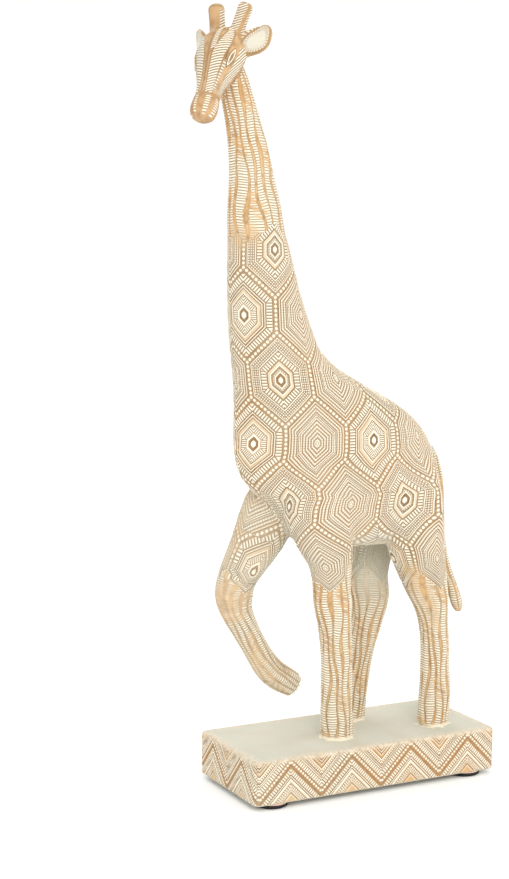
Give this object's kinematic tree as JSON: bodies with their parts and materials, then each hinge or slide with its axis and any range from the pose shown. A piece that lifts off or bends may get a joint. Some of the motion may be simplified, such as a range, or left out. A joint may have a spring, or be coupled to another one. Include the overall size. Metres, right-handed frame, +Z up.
{
  "type": "giraffe figurine",
  "caption": "Striding giraffe figurine with its head turned and one foreleg raised, cast in pinned sections with a carved-look relief, on a rectangular plinth with rubber pads.",
  "frame": {"origin": "on the resting surface under the pads, below the middle of the whole figure's length and depth", "axes": "+Z up; the giraffe faces -X and turns its head towards -Y, so its left side is the -Y side; X runs along the plinth"},
  "size_m": [0.1294, 0.05, 0.305],
  "materials": {
    "cast_resin": "matte, tan base with cream dry-brushed relief and brown wash in the grooves",
    "plinth_resin": "matte, pale sage-white top and tan and cream zigzag relief sides",
    "pad_rubber": "matte black",
    "pad_adhesive": "pale pink double-sided foam",
    "pin_steel": "bright drawn rod"
  },
  "bodies": {
    "root": {"plinth": "plinth_resin", "torso": "cast_resin", "neck": "cast_resin", "head": "cast_resin", "horn_left": "cast_resin", "horn_right": "cast_resin", "ear_left": "cast_resin", "ear_right": "cast_resin", "standing_foreleg": "cast_resin", "raised_foreleg": "cast_resin", "left_hindleg": "cast_resin", "right_hindleg": "cast_resin", "tail": "cast_resin", "pad_front_left": "pad_rubber", "pad_front_right": "pad_rubber", "pad_rear_left": "pad_rubber", "pad_rear_right": "pad_rubber", "pad_adhesive_front_left": "pad_adhesive", "pad_adhesive_front_right": "pad_adhesive", "pad_adhesive_rear_left": "pad_adhesive", "pad_adhesive_rear_right": "pad_adhesive", "standing_foreleg_foot_pin": "pin_steel", "left_hindleg_foot_pin": "pin_steel", "right_hindleg_foot_pin": "pin_steel", "standing_foreleg_body_pin": "pin_steel", "left_hindleg_body_pin": "pin_steel", "right_hindleg_body_pin": "pin_steel", "raised_foreleg_body_pin": "pin_steel", "neck_rod": "pin_steel", "head_pin": "pin_steel"}
  },
  "joints": []
}
